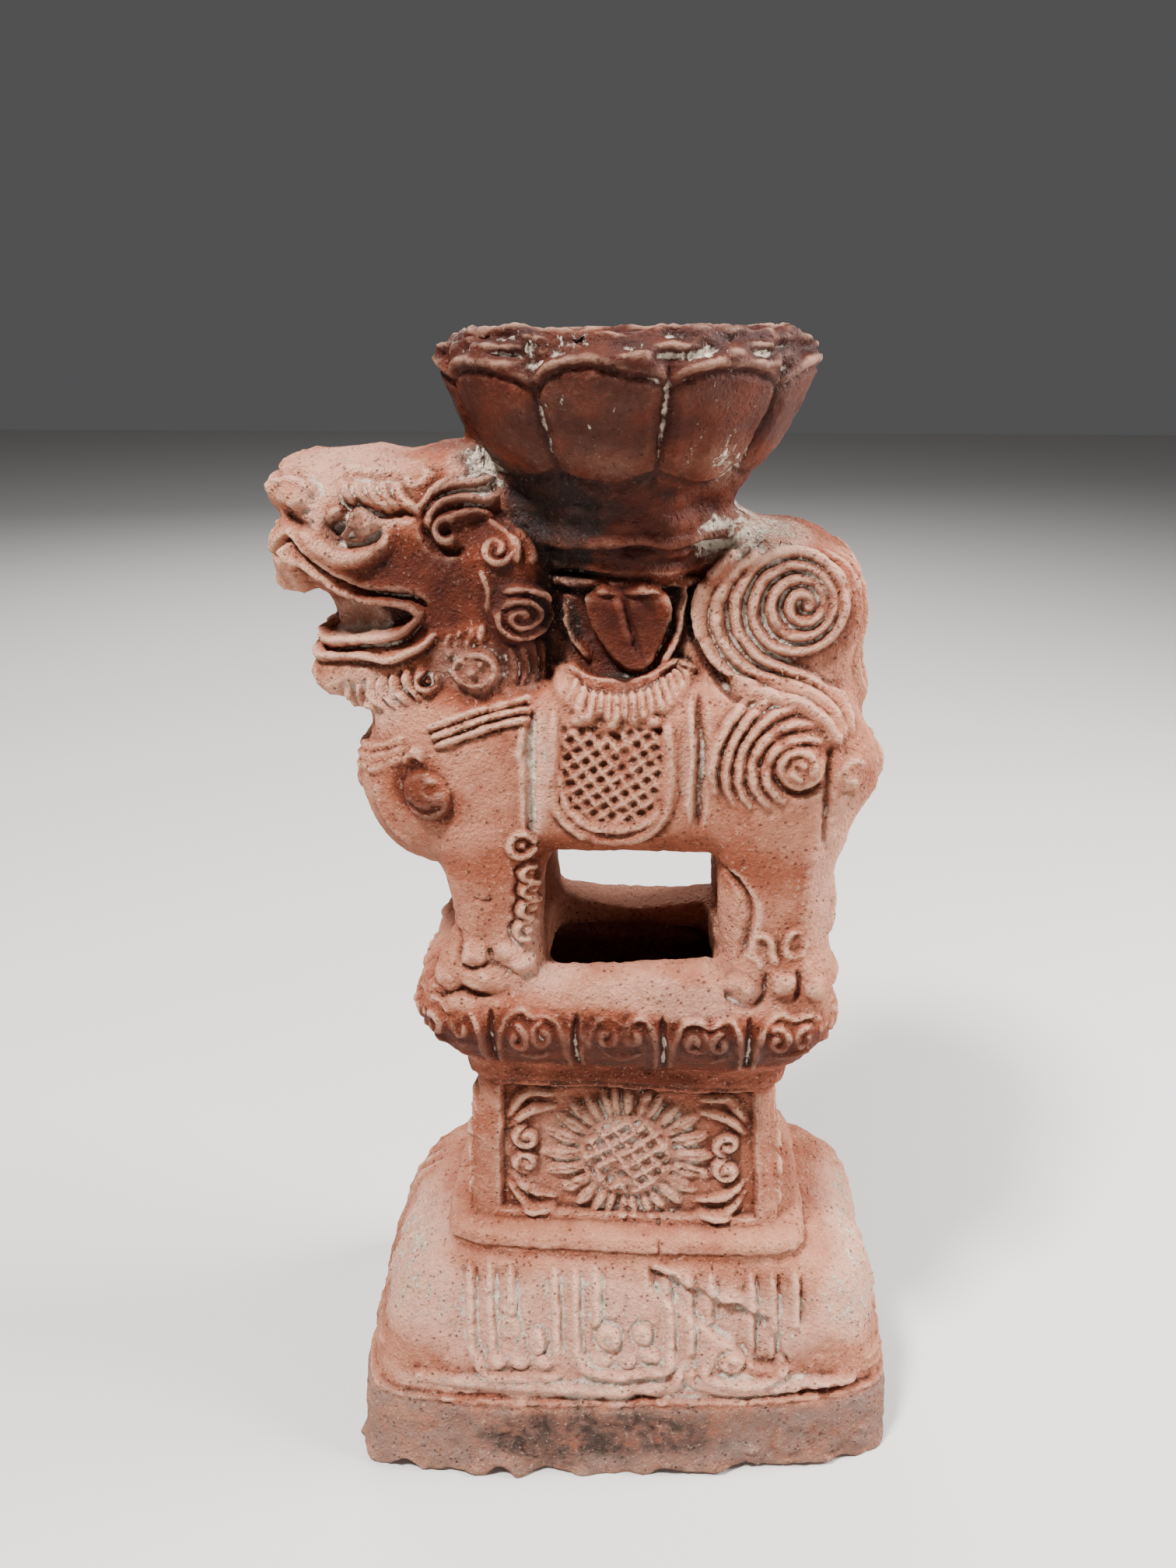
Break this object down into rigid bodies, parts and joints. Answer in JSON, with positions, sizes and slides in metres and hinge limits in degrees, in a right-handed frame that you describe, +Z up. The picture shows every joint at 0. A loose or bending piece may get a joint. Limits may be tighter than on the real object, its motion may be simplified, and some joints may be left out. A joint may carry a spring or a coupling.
{
  "type": "guardian lion incense burner",
  "caption": "Terracotta guardian lion standing on a hollow stepped plinth, with a petalled cup for incense on its back.",
  "frame": {"origin": "middle of the box of the whole work, on the level of the foot's underside", "axes": "+Z up; the lion faces -X and its near flank looks to -Y; +Y runs across the lion"},
  "size_m": [0.1381, 0.086, 0.253],
  "materials": {
    "terracotta": "matt unglazed fired clay, with pale mineral bloom and dark stains in the hollows"
  },
  "bodies": {
    "root": {"lion_incense_burner": "terracotta"}
  },
  "joints": []
}
